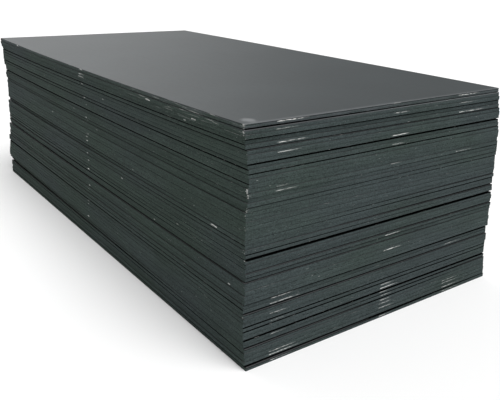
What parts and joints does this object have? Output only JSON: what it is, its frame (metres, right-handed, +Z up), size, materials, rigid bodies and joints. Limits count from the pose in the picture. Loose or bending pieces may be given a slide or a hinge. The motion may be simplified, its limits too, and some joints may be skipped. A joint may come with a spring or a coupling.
{
  "type": "stack of film-faced birch plywood sheets",
  "caption": "Full stack of dark film-faced birch plywood sheets with painted edges, lying flat in lifts that sit a little out of line.",
  "frame": {"origin": "middle of the stack's box, on the floor, at the underside of the lowest sheet", "axes": "+X along the sheets' length, +Y across them, +Z up"},
  "size_m": [2.454, 1.2534, 0.8049],
  "materials": {
    "film_faced_plywood": "smooth dark phenolic film on both faces, satin, with edges sealed in dark green-black paint"
  },
  "bodies": {
    "root": {"sheet_01": "film_faced_plywood", "sheet_02": "film_faced_plywood", "sheet_03": "film_faced_plywood", "sheet_04": "film_faced_plywood", "sheet_05": "film_faced_plywood", "sheet_06": "film_faced_plywood", "sheet_07": "film_faced_plywood", "sheet_08": "film_faced_plywood", "sheet_09": "film_faced_plywood", "sheet_10": "film_faced_plywood", "sheet_11": "film_faced_plywood", "sheet_12": "film_faced_plywood", "sheet_13": "film_faced_plywood", "sheet_14": "film_faced_plywood", "sheet_15": "film_faced_plywood", "sheet_16": "film_faced_plywood", "sheet_17": "film_faced_plywood", "sheet_18": "film_faced_plywood", "sheet_19": "film_faced_plywood", "sheet_20": "film_faced_plywood", "sheet_21": "film_faced_plywood", "sheet_22": "film_faced_plywood", "sheet_23": "film_faced_plywood", "sheet_24": "film_faced_plywood", "sheet_25": "film_faced_plywood", "sheet_26": "film_faced_plywood", "sheet_27": "film_faced_plywood", "sheet_28": "film_faced_plywood", "sheet_29": "film_faced_plywood", "sheet_30": "film_faced_plywood", "sheet_31": "film_faced_plywood", "sheet_32": "film_faced_plywood", "sheet_33": "film_faced_plywood", "sheet_34": "film_faced_plywood", "sheet_35": "film_faced_plywood", "sheet_36": "film_faced_plywood", "sheet_37": "film_faced_plywood", "sheet_38": "film_faced_plywood", "sheet_39": "film_faced_plywood", "sheet_40": "film_faced_plywood", "sheet_41": "film_faced_plywood", "sheet_42": "film_faced_plywood", "sheet_43": "film_faced_plywood", "sheet_44": "film_faced_plywood", "sheet_45": "film_faced_plywood", "sheet_46": "film_faced_plywood", "sheet_47": "film_faced_plywood", "sheet_48": "film_faced_plywood", "sheet_49": "film_faced_plywood", "sheet_50": "film_faced_plywood", "sheet_51": "film_faced_plywood", "sheet_52": "film_faced_plywood", "sheet_53": "film_faced_plywood"}
  },
  "joints": []
}
